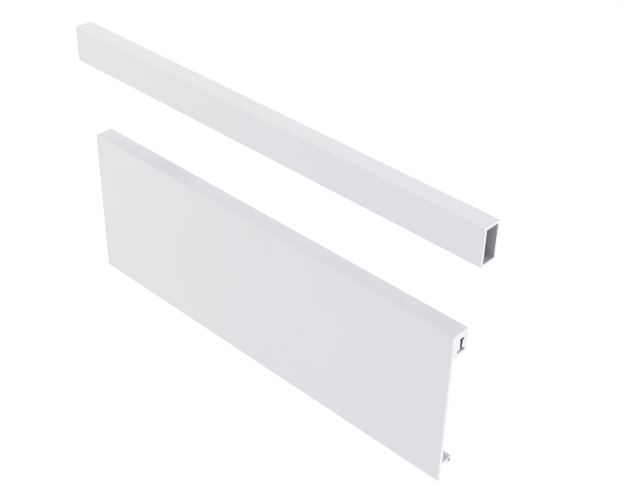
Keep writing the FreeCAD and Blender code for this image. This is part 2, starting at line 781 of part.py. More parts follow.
def make_element_bushes():
    """Silicone bushes that hold the element in the brackets."""
    bushes = []
    for x in ("-bracket_x - bracket_steel", "bracket_x"):
        for rise in ("0", "element_rise"):
            spot = ("element_back", f"element_low + {rise}")
            inner = bar("x", f"{x} - bush_flange", *spot, "bush_outer", "bush_flange")
            neck = bar("x", x, *spot, "bush_neck", "bracket_steel")
            outer = bar("x", f"{x} + bracket_steel", *spot, "bush_outer", "bush_flange")
            bore = bar(
                "x", f"{x} - bush_flange", *spot, "element_radius", "bracket_steel + 2 * bush_flange"
            )
            bushes.append(cut(fuse(inner, neck, outer), bore))
    return finish(group(bushes), "element_bushes")


def make_insulation_board():
    front = "depth - plate_steel - board_thick"
    board = block("-board_length / 2", front, "board_low", "board_length", "board_thick", "board_tall")
    return finish(group([board]), "insulation_board")


# Terminal box and what is in it

ELEMENT_ENDS = [("element_back", "element_low"), ("element_back", "element_low + element_rise")]


def post_places():
    """Middles of the two posts that take the cover screws."""
    inset = "box_wall + post_side / 2"
    return [
        (f"box_from + {inset}", f"box_low + {inset}"),
        (f"box_from + box_long - ({inset})", f"box_low + box_tall - ({inset})"),
    ]


def make_terminal_box():
    """Folded steel box, open to the front, with two corner posts for its cover."""
    body = new_body("terminal_box")
    rear = "depth - plate_steel"
    shell = sketch_on(body, "XZ_Plane", f"-({rear})")
    rectangle(shell, "box_from", "box_low", "box_from + box_long", "box_low + box_tall")
    pad(body, shell, f"{rear} - box_front")
    inside = sketch_on(body, "XZ_Plane", "-box_front")
    rectangle(
        inside,
        "box_from + box_wall",
        "box_low + box_wall",
        "box_from + box_long - box_wall",
        "box_low + box_tall - box_wall",
    )
    pocket(body, inside, f"{rear} - box_wall - box_front")
    posts = sketch_on(body, "XZ_Plane", f"-({rear} - box_wall)")
    for x, z in post_places():
        half = "post_side / 2"
        rectangle(posts, f"{x} - {half}", f"{z} - {half}", f"{x} + {half}", f"{z} + {half}")
    pad(body, posts, f"{rear} - box_wall - box_front")
    threads = sketch_on(body, "XZ_Plane", "-box_front")
    for x, z in post_places():
        circle(threads, x, z, "cover_screw")
    pocket(body, threads, "cover_thread")
    ends = sketch_on(body, "YZ_Plane", "box_from")
    for y, z in ELEMENT_ENDS:
        circle(ends, y, z, "sheath_hole")
    pocket(body, ends, "box_wall", with_normal=True)
    back = sketch_on(body, "XZ_Plane", f"-({rear})")
    circle(back, "entry_x", "entry_high", "entry_neck")
    for x, z, _ in foot_screw_places()[-2:]:
        circle(back, x, z, "fix_hole")
    pocket(body, back, "box_wall", with_normal=True)
    under = sketch_on(body, "XY_Plane", "box_low")
    circle(under, "button_x", "button_back", "button_radius + button_play")
    circle(under, "sensor_x", "element_back", "sensor_radius + loose_play")
    pocket(body, under, "box_wall", with_normal=True)
    return finish(body, "terminal_box")


def make_terminal_cover():
    body = new_body("terminal_cover")
    face = sketch_on(body, "XZ_Plane", "-box_front")
    rectangle(
        face,
        "box_from - cover_lap",
        "box_low - cover_lap",
        "box_from + box_long + cover_lap",
        "box_low + box_tall + cover_lap",
    )
    for x, z in post_places():
        circle(face, x, z, "cover_screw")
    pad(body, face, "cover_steel")
    return finish(body, "terminal_cover")


def make_cover_screws():
    screws = []
    for x, z in post_places():
        head = bar("y", x, "box_front - cover_steel - cover_head_high", z, "cover_head", "cover_head_high")
        shank = bar("y", x, "box_front - cover_steel", z, "cover_screw", "cover_grip")
        screws.append(fuse(head, shank))
    return finish(group(screws), "cover_screws")


def make_cable_bush():
    """Rubber bush that lines the cable's way in from the wall."""
    neck_long = "plate_steel + box_wall"
    neck_front = "depth - plate_steel - box_wall"
    front = f"{neck_front} - entry_lip"
    flange = bar("y", "entry_x", front, "entry_high", "entry_flange", "entry_lip")
    neck = bar("y", "entry_x", neck_front, "entry_high", "entry_neck", neck_long)
    bore = bar("y", "entry_x", front, "entry_high", "entry_bore", f"{neck_long} + entry_lip")
    return finish(cut(fuse(flange, neck), bore), "cable_bush")


def pole_places():
    return [f"pole_x + {number} * pole_pitch" for number in range(3)]


def make_terminal_block():
    """Three-pole terminal block with a recess over each screw and a way in for each wire."""
    body = new_body("terminal_block")
    base = sketch_on(body, "XZ_Plane", "-(depth - plate_steel - box_wall)")
    rectangle(base, "block_x", "block_low", "block_x + block_long", "block_low + block_tall")
    pad(body, base, "depth - plate_steel - box_wall - block_front")
    recess = sketch_on(body, "XZ_Plane", "-block_front")
    for x in pole_places():
        circle(recess, x, "block_low + block_tall / 2", "pole_radius + loose_play")
    pocket(body, recess, "pole_sink + pole_head")
    return finish(body, "terminal_block")


def make_block_screws():
    screws = [
        bar("y", x, "block_front + pole_sink", "block_low + block_tall / 2", "pole_radius", "pole_head")
        for x in pole_places()
    ]
    return finish(group(screws), "block_screws")


def make_element_ends(label, start, radius, long):
    """The same round piece on both ends of the element."""
    pieces = [bar("x", start, y, z, radius, long) for y, z in ELEMENT_ENDS]
    return finish(group(pieces), label)


def make_earth_stud():
    front = "depth - plate_steel - box_wall - stud_long"
    stud = bar("y", "stud_x", front, "stud_high", "stud_radius", "stud_long")
    return finish(group([stud]), "earth_stud")


def make_earth_tag():
    """Ring tag between the nut and the box, on which the earth lead ends."""
    front = "depth - plate_steel - box_wall - tag_thick"
    ring = bar("y", "stud_x", front, "stud_high", "tag_radius", "tag_thick")
    hole = bar("y", "stud_x", front, "stud_high", "stud_radius", "tag_thick")
    return finish(cut(ring, hole), "earth_tag")


def make_earth_nut():
    """Hexagon nut on the earth stud."""
    body = new_body("earth_nut")
    face = sketch_on(body, "XZ_Plane", "-(depth - plate_steel - box_wall - tag_thick)")
    far = f"nut_flats * {HEX_CORNER}"
    near = f"{far} / 2"
    corners = [
        (f"stud_x + {far}", "stud_high"),
        (f"stud_x + {near}", "stud_high + nut_flats / 2"),
        (f"stud_x - {near}", "stud_high + nut_flats / 2"),
        (f"stud_x - {far}", "stud_high"),
        (f"stud_x - {near}", "stud_high - nut_flats / 2"),
        (f"stud_x + {near}", "stud_high - nut_flats / 2"),
    ]
    outline(face, corners)
    circle(face, "stud_x", "stud_high", "stud_radius")
    pad(body, face, "nut_thick")
    return finish(body, "earth_nut")


def make_lead(label, points, radius, bend):
    """A tube along straight runs through points, with every corner rounded to one bend radius."""
    spots = [Vector(*(value(number) for number in point)) for point in points]
    edges = []
    start = spots[0]
    for before, corner, after in zip(spots, spots[1:], spots[2:]):
        back = (before - corner).normalize()
        ahead = (after - corner).normalize()
        half = back.getAngle(ahead) / 2
        reach = value(bend) / math.tan(half)
        inward = (back + ahead).normalize()
        crown = corner + inward * (value(bend) / math.sin(half) - value(bend))
        leave = corner + back * reach
        arrive = corner + ahead * reach
        edges.append(Part.LineSegment(start, leave).toShape())
        edges.append(Part.Arc(leave, crown, arrive).toShape())
        start = arrive
    edges.append(Part.LineSegment(start, spots[-1]).toShape())
    ring = Part.Circle(spots[0], spots[1] - spots[0], value(radius)).toShape()
    tube = doc.addObject("Part::Feature", label)
    tube.Shape = Part.Wire(edges).makePipeShell([Part.Wire([ring])], True, False)
    return finish(tube, label)


def make_leads():
    """The insulated leads in the terminal box."""
    neutral, live, earth = pole_places()
    pin_x = "element_end + insulator_long + pin_long / 2"
    cutout_top = "box_low + box_wall + cutout_tall"
    link_top = "element_low + link_rise"
    upper_pin = "element_low + element_rise + pin_radius"
    routes = {
        "lead_neutral": [(neutral, "element_back", "block_low"), (pin_x, "element_back", upper_pin)],
        "lead_live": [
            (live, "element_back", "block_low"),
            (live, "element_back", "block_low - live_drop"),
            ("button_x", "button_back", "block_low - live_reach"),
            ("button_x", "button_back", cutout_top),
        ],
        "lead_link": [
            ("sensor_x", "element_back", cutout_top),
            ("sensor_x", "element_back", link_top),
            (pin_x, "element_back", link_top),
            (pin_x, "element_back", "element_low + pin_radius"),
        ],
        "lead_earth": [
            (earth, "element_back", "block_low"),
            (earth, "element_back", "block_low - earth_drop"),
            ("stud_x", "depth - plate_steel - box_wall - earth_lift", "stud_high + earth_tip"),
        ],
    }
    bends = {"lead_live": "live_bend", "lead_earth": "earth_bend"}
    for label, route in routes.items():
        make_lead(label, route, "lead_radius", bends.get(label, "lead_bend"))


def make_sensing_tube():
    """The limiter's tube, which runs under the fins and up into the cut-out."""
    route = [
        ("sensor_from", "element_back", "sensor_high"),
        ("sensor_x", "element_back", "sensor_high"),
        ("sensor_x", "element_back", "box_low + box_wall"),
    ]
    make_lead("sensing_tube", route, "sensor_radius", "sensor_bend")


def make_thermal_cutout():
    """Limiter housing on the box's floor, with a well for the reset button's stem."""
    floor = "box_low + box_wall"
    housing = block("cutout_x", "cutout_front", floor, "cutout_long", "cutout_wide", "cutout_tall")
    well = bar("z", "button_x", "button_back", floor, "button_radius + button_play", "button_well")
    return finish(cut(housing, well), "thermal_cutout")


def make_reset_button():
    """Red button under the terminal box; it is pushed up to reset the limiter."""
    cap = bar("z", "button_x", "button_back", "button_low", "button_cap", "button_cap_tall")
    stem = bar("z", "button_x", "button_back", "button_low", "button_radius", "button_top - button_low")
    return finish(fuse(cap, stem), "reset_button")


# Top rail and its wall clips

HANGERS = {"left": "-hanger_x", "right": "hanger_x"}


def rail_rivet_places():
    return [
        (f"{x} {side} rivet_apart / 2", "hanger_rivet") for x in HANGERS.values() for side in "-+"
    ]


def make_top_rail():
    """Rectangular tube, open at its right end and capped at its left."""
    body = new_body("top_rail")
    rail_high = "rail_low + rail_height"
    profile = sketch_on(body, "YZ_Plane", "-rail_length / 2 + cap_flange")
    rectangle(profile, "0", "rail_low", "rail_depth", rail_high)
    rectangle(
        profile,
        "rail_wall",
        "rail_low + rail_wall",
        "rail_depth - rail_wall",
        f"{rail_high} - rail_wall",
    )
    pad(body, profile, "rail_length - cap_flange")
    corners = [(y, z) for y in ("0", "rail_depth") for z in ("rail_low", rail_high)]
    round_long_edges(body, corners, "soft_edge", "rail_length - cap_flange")
    rivets = sketch_on(body, "XZ_Plane", "-rail_depth")
    for x, z in rail_rivet_places():
        circle(rivets, x, z, "rivet_radius")
    pocket(body, rivets, "rail_wall", with_normal=True)
    return finish(body, "top_rail")


def make_rail_cap():
    """Moulded cap with a hollow spigot in the rail's left end."""
    body = new_body("rail_cap_left")
    start = "-rail_length / 2"
    flange = sketch_on(body, "YZ_Plane", start)
    rectangle(flange, "0", "rail_low", "rail_depth", "rail_low + rail_height")
    pad(body, flange, "cap_flange")
    corners = [(y, z) for y in ("0", "rail_depth") for z in ("rail_low", "rail_low + rail_height")]
    round_long_edges(body, corners, "soft_edge", "cap_flange")
    spigot = sketch_on(body, "YZ_Plane", f"{start} + cap_flange")
    for inset in ("rail_wall + cap_gap", "rail_wall + cap_gap + cap_wall"):
        rectangle(
            spigot,
            inset,
            f"rail_low + {inset}",
            f"rail_depth - ({inset})",
            f"rail_low + rail_height - ({inset})",
        )
    pad(body, spigot, "cap_spigot")
    return finish(body, "rail_cap_left")


def make_rail_hanger(side, x):
    """Steel hanger riveted behind the rail, whose tongue drops behind the wall clip's lip."""
    body = new_body(f"rail_hanger_{side}")
    profile = sketch_on(body, "YZ_Plane")
    bridge_top = "hanger_bridge + hanger_steel"
    outline(
        profile,
        [
            ("rail_depth", "hanger_leaf_low"),
            ("rail_depth + hanger_steel", "hanger_leaf_low"),
            ("rail_depth + hanger_steel", "hanger_bridge"),
            ("hanger_tongue", "hanger_bridge"),
            ("hanger_tongue", "hanger_tongue_low"),
            ("hanger_tongue + hanger_steel", "hanger_tongue_low"),
            ("hanger_tongue + hanger_steel", bridge_top),
            ("rail_depth", bridge_top),
        ],
    )
    pad(body, profile, "hanger_wide", both_ways=True)
    bends = [("rail_depth", bridge_top), ("hanger_tongue + hanger_steel", bridge_top)]
    round_long_edges(body, bends, "hanger_bend", "hanger_wide")
    rivets = sketch_on(body, "XZ_Plane", "-rail_depth")
    for way in "-+":
        circle(rivets, f"{way} rivet_apart / 2", "hanger_rivet", "rivet_radius")
    pocket(body, rivets, "hanger_steel")
    return finish(body, f"rail_hanger_{side}", x)


def make_rail_rivets():
    rivets = [
        rivet(x, z, "rail_depth + hanger_steel", "rail_wall + hanger_steel") for x, z in rail_rivet_places()
    ]
    return finish(group(rivets), "rail_rivets")


def make_rail_wall_clip(side, x):
    """Clip screwed to the wall behind the rail, with an upturned lip that the hanger hooks over."""
    body = new_body(f"rail_wall_clip_{side}")
    profile = sketch_on(body, "YZ_Plane")
    outline(
        profile,
        [
            ("wallclip_lip", "wallclip_low"),
            ("depth", "wallclip_low"),
            ("depth", "wallclip_high"),
            ("depth - hanger_steel", "wallclip_high"),
            ("depth - hanger_steel", "wallclip_low + hanger_steel"),
            ("wallclip_lip + hanger_steel", "wallclip_low + hanger_steel"),
            ("wallclip_lip + hanger_steel", "wallclip_lip_high"),
            ("wallclip_lip", "wallclip_lip_high"),
        ],
    )
    pad(body, profile, "wallclip_wide", both_ways=True)
    bends = [("wallclip_lip", "wallclip_low"), ("depth", "wallclip_low")]
    round_long_edges(body, bends, "hanger_bend", "wallclip_wide")
    hole = sketch_on(body, "XZ_Plane", "-depth")
    circle(hole, "0", "wallclip_screw", "wall_hole")
    pocket(body, hole, "hanger_steel", with_normal=True)
    return finish(body, f"rail_wall_clip_{side}", x)


def make_everything():
    make_front_panel()
    make_panel_plug("left", "-panel_length / 2")
    make_panel_plug("right", "panel_length / 2 - plug_depth")
    for side, x in HOOKS.items():
        make_panel_hook(side, x)
    make_hook_rivets()
    make_back_plate()
    make_support_bracket("left", "-bracket_x - bracket_steel", "-foot_wide")
    make_support_bracket("right", "bracket_x", "bracket_steel")
    make_hanging_rod()
    for side, x in (("left", "-clip_x"), ("right", "clip_x")):
        make_port_clip(side, x)
    make_chassis_screws()
    make_heating_element()
    make_fin_stack()
    make_element_bushes()
    make_insulation_board()
    make_terminal_box()
    make_terminal_cover()
    make_cover_screws()
    make_cable_bush()
    make_terminal_block()
    make_block_screws()
    make_element_ends("end_insulators", "element_end", "insulator_radius", "insulator_long")
    make_element_ends("terminal_pins", "element_end + insulator_long", "pin_radius", "pin_long")
    make_earth_stud()
    make_earth_tag()
    make_earth_nut()
    make_leads()
    make_sensing_tube()
    make_thermal_cutout()
    make_reset_button()
    make_top_rail()
    make_rail_cap()
    for side, x in HANGERS.items():
        make_rail_hanger(side, x)
        make_rail_wall_clip(side, x)
    make_rail_rivets()


def check_document():
    """Stops if any object failed to build or any sub-part has no sound shape."""
    failed = [thing.Name for thing in doc.Objects if {"Invalid", "Error"} & set(thing.State)]
    if failed:
        raise ValueError(f"failed objects: {failed}")
    unsound = [node.Label for node in nodes if node.Shape.isNull() or not node.Shape.isValid()]
    if unsound:
        raise ValueError(f"unsound shapes: {unsound}")


def write_parts():
    os.makedirs("parts", exist_ok=True)
    for node in nodes:
        node.Shape.exportStep(f"parts/{node.Label}.step")
        print(f"{node.Label}: {len(node.Shape.Solids)} solid(s), {node.Shape.Volume / 1000:.2f} cm3")


make_everything()
doc.recompute()
check_document()
write_parts()
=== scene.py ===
"""Looks of the baseboard heater: materials, finer meshes for some of the CAD nodes, light and camera."""

import json
import math
import random

import bmesh
import bpy
from mathutils import Matrix, Vector


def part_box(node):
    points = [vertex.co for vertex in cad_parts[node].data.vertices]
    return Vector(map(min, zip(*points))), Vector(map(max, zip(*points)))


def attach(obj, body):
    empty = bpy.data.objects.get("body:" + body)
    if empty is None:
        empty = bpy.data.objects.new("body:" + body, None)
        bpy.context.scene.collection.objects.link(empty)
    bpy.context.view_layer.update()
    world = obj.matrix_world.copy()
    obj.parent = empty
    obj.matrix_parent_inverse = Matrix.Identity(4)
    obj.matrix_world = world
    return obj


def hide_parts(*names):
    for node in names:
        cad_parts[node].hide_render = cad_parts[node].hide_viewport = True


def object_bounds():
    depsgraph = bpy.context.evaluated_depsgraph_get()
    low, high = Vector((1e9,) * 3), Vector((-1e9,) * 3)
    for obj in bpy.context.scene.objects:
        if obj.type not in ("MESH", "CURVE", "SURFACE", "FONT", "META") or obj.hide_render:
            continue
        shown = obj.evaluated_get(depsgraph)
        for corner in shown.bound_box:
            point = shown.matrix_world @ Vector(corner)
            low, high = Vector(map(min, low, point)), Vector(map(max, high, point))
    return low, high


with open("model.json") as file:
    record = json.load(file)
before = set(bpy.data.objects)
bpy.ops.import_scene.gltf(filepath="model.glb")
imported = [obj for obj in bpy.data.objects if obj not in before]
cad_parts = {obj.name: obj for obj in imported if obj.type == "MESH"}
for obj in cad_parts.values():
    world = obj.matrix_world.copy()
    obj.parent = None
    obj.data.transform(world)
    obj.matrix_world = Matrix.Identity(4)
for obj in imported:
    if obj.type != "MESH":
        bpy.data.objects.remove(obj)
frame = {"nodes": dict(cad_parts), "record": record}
cad_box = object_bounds()

MM = 0.001
NODES = frame["nodes"]
SLOT_OF = {part["node"]: part["material_slot"] for part in frame["record"]["subparts"]}
BODIES = frame["record"]["behaviour"]["bodies"]
BODY_OF = {node: body for body, members in BODIES.items() for node in members}

# --------------------------------------------------------------------------------------------- materials

WHITE = (0.67, 0.663, 0.706)  # the powder coat and the mouldings that match it
BARE_AND_PAINTED_SHADE = (0.45, 0.44, 0.47)  # inside the extrusions: partly bare metal where no coat reaches, partly painted shade of the hollow
SLOT_PAINTED_SHADE = (0.14, 0.14, 0.145)  # painted shade inside the plugs' slots


class Shader:
    """A Principled material, and short ways to add nodes in the piece's own coordinates, in metres."""

    def __init__(self, name, color, roughness, metallic=0.0, specular=0.5):
        self.material = bpy.data.materials.new(name)
        self.material.use_nodes = True
        self.tree = self.material.node_tree
        self.main = self.tree.nodes["Principled BSDF"]
        self.main.inputs["Base Color"].default_value = (*color, 1)
        self.main.inputs["Roughness"].default_value = roughness
        self.main.inputs["Metallic"].default_value = metallic
        self.main.inputs["Specular IOR Level"].default_value = specular
        self.place = self.add("ShaderNodeTexCoord").outputs["Object"]

    def add(self, kind, **settings):
        node = self.tree.nodes.new(kind)
        for name, setting in settings.items():
            setattr(node, name, setting)
        return node

    def link(self, source, target):
        self.tree.links.new(source, target)

    def stretched(self, scale):
        """The piece's coordinates, scaled apart along X, Y and Z."""
        mapping = self.add("ShaderNodeMapping")
        mapping.inputs["Scale"].default_value = scale
        self.link(self.place, mapping.inputs["Vector"])
        return mapping.outputs["Vector"]

    def noise(self, size, detail=3.0, rough=0.5, stretch=(1, 1, 1)):
        """Noise whose blotches are about size metres across, and longer where stretch is under 1."""
        node = self.add("ShaderNodeTexNoise")
        node.inputs["Scale"].default_value = 1
        node.inputs["Detail"].default_value = detail
        node.inputs["Roughness"].default_value = rough
        self.link(self.stretched([way / size for way in stretch]), node.inputs["Vector"])
        return node.outputs["Fac"]

    def ramp(self, source, low, high, from_low=0.3, from_high=0.7):
        """A value from low to high as the source goes from from_low to from_high."""
        node = self.add("ShaderNodeMapRange")
        node.inputs["From Min"].default_value = from_low
        node.inputs["From Max"].default_value = from_high
        node.inputs["To Min"].default_value = low
        node.inputs["To Max"].default_value = high
        self.link(source, node.inputs["Value"])
        return node.outputs["Result"]

    def mix(self, factor, first, second):
        """A colour between two, each a colour or a socket."""
        node = self.add("ShaderNodeMix", data_type="RGBA")
        self.link(factor, node.inputs[0])
        sockets = [socket for socket in node.inputs if socket.type == "RGBA"]
        for socket, color in zip(sockets, (first, second)):
            if isinstance(color, tuple):
                socket.default_value = (*color, 1)
            else:
                self.link(color, socket)
        return next(socket for socket in node.outputs if socket.type == "RGBA")

    def calculate(self, operation, first, second):
        """One sum or test: first is a socket, second a number or a socket."""
        node = self.add("ShaderNodeMath", operation=operation)
        self.link(first, node.inputs[0])
        if isinstance(second, float):
            node.inputs[1].default_value = second
        else:
            self.link(second, node.inputs[1])
        return node.outputs["Value"]

    def inside(self, low, high):
        """1 inside a box of the piece, 0 outside it: low and high are its corners."""
        axes = self.add("ShaderNodeSeparateXYZ")
        self.link(self.place, axes.inputs["Vector"])
        tests = []
        for axis, start, end in zip("XYZ", low, high):
            tests.append(self.calculate("GREATER_THAN", axes.outputs[axis], start))
            tests.append(self.calculate("LESS_THAN", axes.outputs[axis], end))
        every = tests[0]
        for test in tests[1:]:
            every = self.calculate("MULTIPLY", every, test)
        return every

    def color(self, source):
        self.link(source, self.main.inputs["Base Color"])

    def roughness(self, source):
        self.link(source, self.main.inputs["Roughness"])

    def bump(self, height, depth):
        """Relief: a height from 0 to 1 stands for depth metres."""
        node = self.add("ShaderNodeBump")
        node.inputs["Strength"].default_value = 1
        node.inputs["Distance"].default_value = depth
        self.link(height, node.inputs["Height"])
        self.link(node.outputs["Normal"], self.main.inputs["Normal"])


def shade(color, factor):
    return tuple(min(1.0, part * factor) for part in color)


def powder_coat(name, low, high):
    """Satin white powder coat, faintly uneven, with orange peel. It is missing inside a box, low to high,
    whose grey is partly bare metal and partly painted shade.
    """
    coat = Shader(name, WHITE, 0.42, specular=0.3)
    tone = coat.ramp(coat.noise(0.06, 2), 0, 1)
    color = coat.mix(tone, shade(WHITE, 0.992), shade(WHITE, 1.006))
    # Inside the box the colour is partly bare metal and partly painted shade of the hollow.
    coat.color(coat.mix(coat.inside(low, high), color, BARE_AND_PAINTED_SHADE))
    coat.roughness(coat.ramp(coat.noise(0.004), 0.38, 0.48))
    coat.bump(coat.noise(0.0012, 2), 0.000012)
    return coat.material


def moulding(name, color, roughness=0.5, uneven=0.03, slot=None):
    """Moulded plastic with a fine spark-eroded grain, and painted shade inside its slot, a box by its
    corners.
    """
    plastic = Shader(name, color, roughness, specular=0.4)
    tone = plastic.ramp(plastic.noise(0.008, 2), 0, 1)
    color = plastic.mix(tone, shade(color, 1 - uneven), shade(color, 1 + uneven))
    if slot:
        # Painted shade: the slot's box is coloured dark to stand for the shade inside it.
        color = plastic.mix(plastic.inside(*slot), color, SLOT_PAINTED_SHADE)
    plastic.color(color)
    plastic.roughness(plastic.ramp(plastic.noise(0.002), roughness - 0.06, roughness + 0.08))
    plastic.bump(plastic.noise(0.0004, 3), 0.00001)
    return plastic.material


def white_moulding(name, slot=None):
    """The mouldings that match the powder coat."""
    return moulding(name, WHITE, 0.45, 0.004, slot)


def galvanised():
    """Zinc-coated sheet: small faceted spangle over broad dull patches, with rolling marks."""
    zinc = Shader("galvanised_steel", (0.42, 0.44, 0.45), 0.42, metallic=0.85)
    cells = zinc.add("ShaderNodeTexVoronoi")
    cells.inputs["Scale"].default_value = 1
    zinc.link(zinc.stretched((260, 260, 260)), cells.inputs["Vector"])
    grey = zinc.add("ShaderNodeRGBToBW")
    zinc.link(cells.outputs["Color"], grey.inputs["Color"])
    spangle = zinc.mix(zinc.ramp(grey.outputs["Val"], 0, 1), (0.39, 0.41, 0.42), (0.47, 0.485, 0.5))
    zinc.color(zinc.mix(zinc.ramp(zinc.noise(0.05, 4, 0.6), 0, 0.45), spangle, (0.35, 0.37, 0.38)))
    zinc.roughness(zinc.ramp(grey.outputs["Val"], 0.34, 0.52))
    zinc.bump(zinc.noise(0.0006, stretch=(0.1, 1, 1)), 0.00001)
    return zinc.material


def drawn_metal(name, color, roughness=0.3, stretch=(0.03, 1, 1)):
    """Metal with fine lines, drawn or brushed along the way in which stretch is under 1."""
    metal = Shader(name, color, roughness, metallic=1.0)
    lines = metal.noise(0.0005, 3, stretch=stretch)
    cloud = metal.noise(0.012, 3)
    metal.color(metal.mix(metal.ramp(cloud, 0, 1), shade(color, 0.88), shade(color, 1.08)))
    metal.roughness(metal.ramp(lines, roughness - 0.08, roughness + 0.12))
    metal.bump(lines, 0.000008)
    return metal.material


def element_sheath():
    """Stainless sheath, straw to blue-grey from heat, in bands along its run."""
    sheath = Shader("element_sheath", (0.35, 0.32, 0.28), 0.35, metallic=0.95)
    bands = sheath.noise(0.03, 3, stretch=(1, 0.3, 0.3))
    sheath.color(sheath.mix(sheath.ramp(bands, 0, 1), (0.2, 0.19, 0.2), (0.48, 0.4, 0.3)))
    sheath.roughness(sheath.ramp(sheath.noise(0.002), 0.28, 0.5))
    sheath.bump(sheath.noise(0.0006, stretch=(0.05, 1, 1)), 0.00001)
    return sheath.material


def foil_board():
    """Crinkled aluminium foil on a mineral board."""
    foil = Shader("foil_faced_board", (0.72, 0.72, 0.71), 0.32, metallic=0.85)
    crease = foil.noise(0.014, 5, 0.6)
    foil.color(foil.mix(foil.ramp(crease, 0, 1), (0.6, 0.6, 0.59), (0.8, 0.8, 0.79)))
    foil.roughness(foil.ramp(crease, 0.25, 0.45))
    foil.bump(crease, 0.0006)
    return foil.material


def striped_lead():
    """Green insulation with yellow stripes across X, which the slanting lead turns into bands."""
    green, yellow = (0.05, 0.32, 0.06), (0.85, 0.7, 0.06)
    lead = Shader("lead_green_yellow", green, 0.35)
    wave = lead.add("ShaderNodeTexWave", wave_type="BANDS", bands_direction="X")
    wave.inputs["Scale"].default_value = 1
    wave.inputs["Distortion"].default_value = 0.4
    lead.link(lead.stretched((320, 60, 60)), wave.inputs["Vector"])
    lead.color(lead.mix(lead.ramp(wave.outputs["Fac"], 0, 1, 0.45, 0.55), green, yellow))
    lead.bump(lead.noise(0.001), 0.00001)
    return lead.material


def inset(node, *, ends=0, front, back, low, high):
    """The corners of a box inside a node's box, by its distance in mm from each side."""
    start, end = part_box(node)
    return start + Vector((ends, front, low)) * MM, end - Vector((ends, back, high)) * MM


def slot_materials():
    """One material for each of the record's slots but the powder coat, whose nodes have their own."""
    upright = (1, 1, 0.03)
    return {
        "white_moulding": white_moulding("white_moulding"),
        "galvanised_steel": galvanised(),
        "spring_steel": drawn_metal("spring_steel", (0.4, 0.42, 0.46)),
        "bright_steel": drawn_metal("bright_steel", (0.66, 0.66, 0.66), 0.26),
        "element_sheath": element_sheath(),
        "fin_aluminium": drawn_metal("fin_aluminium", (0.8, 0.81, 0.82), stretch=upright),
        "silicone_bush": moulding("silicone_bush", (0.45, 0.11, 0.06), 0.6),
        "foil_faced_board": foil_board(),
        "black_rubber": moulding("black_rubber", (0.025, 0.025, 0.027), 0.65),
        "block_plastic": moulding("block_plastic", (0.8, 0.78, 0.7), 0.4),
        "limiter_plastic": moulding("limiter_plastic", (0.03, 0.03, 0.035), 0.4),
        "button_red": moulding("button_red", (0.6, 0.02, 0.015), 0.3),
        "ceramic_white": moulding("ceramic_white", (0.84, 0.82, 0.76), 0.55),
        "tinned_tag": drawn_metal("tinned_tag", (0.75, 0.73, 0.68), stretch=upright),
        "sensor_copper": drawn_metal("sensor_copper", (0.72, 0.36, 0.22)),
        "lead_brown": moulding("lead_brown", (0.13, 0.05, 0.02), 0.4),
        "lead_blue": moulding("lead_blue", (0.02, 0.1, 0.42), 0.4),
        "lead_green_yellow": striped_lead(),
    }


def node_materials():
    """Materials of the nodes whose hollows are coloured darker: two extrusions, partly bare metal and partly
    painted shade inside, and two slotted plugs, painted shade in the slots.
    """
    skin = 0.05  # how far a hollow's box goes into the walls round it, so that it takes in their faces
    wall = 2 - skin
    plate = 3 - skin
    channel_floor = 121 - skin  # its upper face, above the panel's foot
    tube = inset("top_rail", front=wall, back=wall, low=wall, high=wall)
    channel = inset("front_panel", front=plate, back=wall, low=channel_floor, high=wall)
    own = {
        "top_rail": powder_coat("powder_coat_rail", *tube),
        "front_panel": powder_coat("powder_coat_panel", *channel),
    }
    for plug in ("panel_plug_left", "panel_plug_right"):
        # Each plug's slot box is coloured dark as painted shade.
        own[plug] = white_moulding(f"{plug}_white", inset(plug, ends=0.3, front=2, back=0.5, low=1, high=2))
    return own


def dress_nodes():
    """Gives every CAD node its own material, or else its slot's."""
    by_slot = slot_materials()
    by_node = node_materials()
    for name, node in NODES.items():
        material = by_node.get(name) or by_slot[SLOT_OF[name]]
        for slot in node.material_slots:
            slot.material = material


# --------------------------------------------------------------------------------------------- meshes

TO_ROOM = Matrix.Rotation(math.radians(90), 4, "X")
TO_WALL = Matrix.Rotation(math.radians(-90), 4, "X")
UPRIGHT = Matrix.Identity(4)
WELD = 0.001 * MM  # corners nearer than this are one
FLAT = math.radians(0.5)  # faces that turn less than this are one
SHARP = math.radians(30)  # edges that turn more than this are rounded
CREASE = math.radians(38)  # edges of the fasteners that turn more than this stay sharp
SLIM = 0.6 * MM  # faces narrower than this belong to a bend or a rounded edge
SIDES = 40  # of a turned solid
chance = random.Random(11)


def as_object(name, mesh):
    data = bpy.data.meshes.new(name)
    mesh.to_mesh(data)
    mesh.free()
    piece = bpy.data.objects.new(name, data)
    bpy.context.scene.collection.objects.link(piece)
    return piece


def stand_for(piece, node):
    """A finished piece takes a CAD node's place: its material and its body."""
    piece.data.materials.clear()
    piece.data.materials.append(NODES[node].material_slots[0].material)
    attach(piece, BODY_OF[node])
    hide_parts(node)


def welded(node):
    """A CAD node's mesh as one skin, without its own normals."""
    data = NODES[node].data
    mesh = bmesh.new()
    corners = [mesh.verts.new(vertex.co) for vertex in data.vertices]
    for face in data.polygons:
        mesh.faces.new([corners[corner] for corner in face.vertices])
    bmesh.ops.remove_doubles(mesh, verts=mesh.verts, dist=WELD)
    return mesh


def softened(node, width):
    """A copy of a CAD node's mesh with its sharp edges rounded, by a width in mm."""
    mesh = welded(node)
    bmesh.ops.dissolve_limit(mesh, angle_limit=FLAT, verts=mesh.verts, edges=mesh.edges)
    sharp = [edge for edge in mesh.edges if edge.calc_face_angle(0) > SHARP]
    bmesh.ops.bevel(
        mesh, geom=sharp, offset=width * MM, offset_type="OFFSET", segments=2, profile=0.5,
        affect="EDGES", clamp_overlap=True, miter_outer="ARC",
    )
    for face in mesh.faces:
        face.smooth = face.calc_area() < SLIM * max(edge.calc_length() for edge in face.edges)
    return as_object(f"{node}_shown", mesh)


